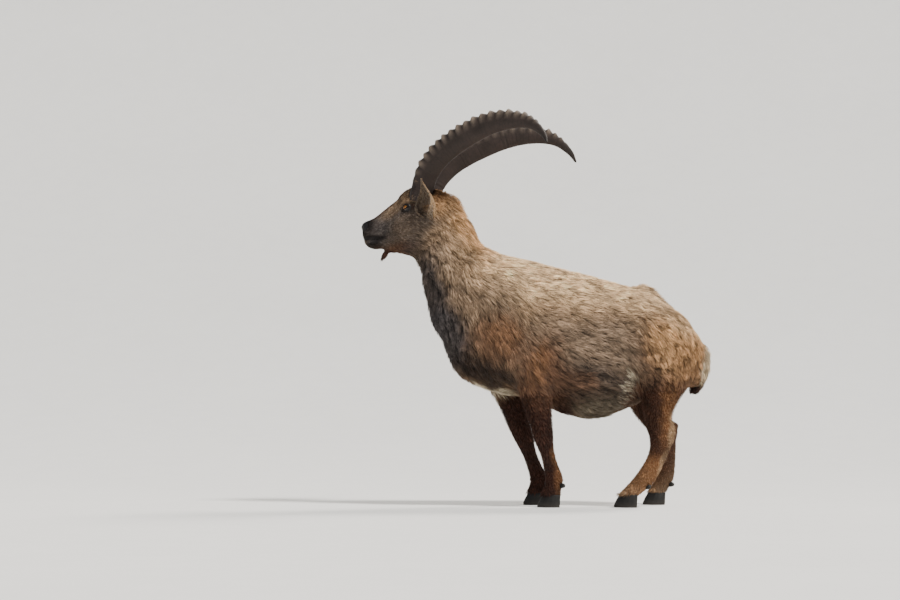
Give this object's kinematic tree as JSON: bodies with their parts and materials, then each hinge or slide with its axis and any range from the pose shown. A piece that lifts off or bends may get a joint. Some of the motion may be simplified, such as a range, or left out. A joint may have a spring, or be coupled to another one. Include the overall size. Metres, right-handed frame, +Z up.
{
  "type": "alpine ibex animal model",
  "caption": "Life-size still model of a standing male alpine ibex with long ridged horns, its head turned a little to one side.",
  "frame": {"origin": "on the floor, under the middle of the whole model's bounding box", "axes": "+Z up; the animal faces -X, its left side is towards -Y and its right side towards +Y"},
  "size_m": [1.2478, 0.4704, 1.4071],
  "materials": {
    "coat": "matte",
    "leg_coat": "matte",
    "horn": "satin",
    "hoof": "satin",
    "eye": "gloss"
  },
  "bodies": {
    "root": {"head": "coat", "neck": "coat", "torso": "coat", "tail": "coat", "ear_left": "coat", "ear_right": "coat", "eye_left": "eye", "eye_right": "eye", "horn_left": "horn", "horn_right": "horn", "foreleg_left_upper": "leg_coat", "foreleg_left_lower": "leg_coat", "foreleg_right_upper": "leg_coat", "foreleg_right_lower": "leg_coat", "hindleg_left_upper": "leg_coat", "hindleg_left_lower": "leg_coat", "hindleg_right_upper": "leg_coat", "hindleg_right_lower": "leg_coat", "foreleg_left_hoof_outer": "hoof", "foreleg_left_hoof_inner": "hoof", "foreleg_right_hoof_outer": "hoof", "foreleg_right_hoof_inner": "hoof", "hindleg_left_hoof_outer": "hoof", "hindleg_left_hoof_inner": "hoof", "hindleg_right_hoof_outer": "hoof", "hindleg_right_hoof_inner": "hoof", "foreleg_left_dewclaw_outer": "hoof", "foreleg_left_dewclaw_inner": "hoof", "foreleg_right_dewclaw_outer": "hoof", "foreleg_right_dewclaw_inner": "hoof", "hindleg_left_dewclaw_outer": "hoof", "hindleg_left_dewclaw_inner": "hoof", "hindleg_right_dewclaw_outer": "hoof", "hindleg_right_dewclaw_inner": "hoof"}
  },
  "joints": []
}
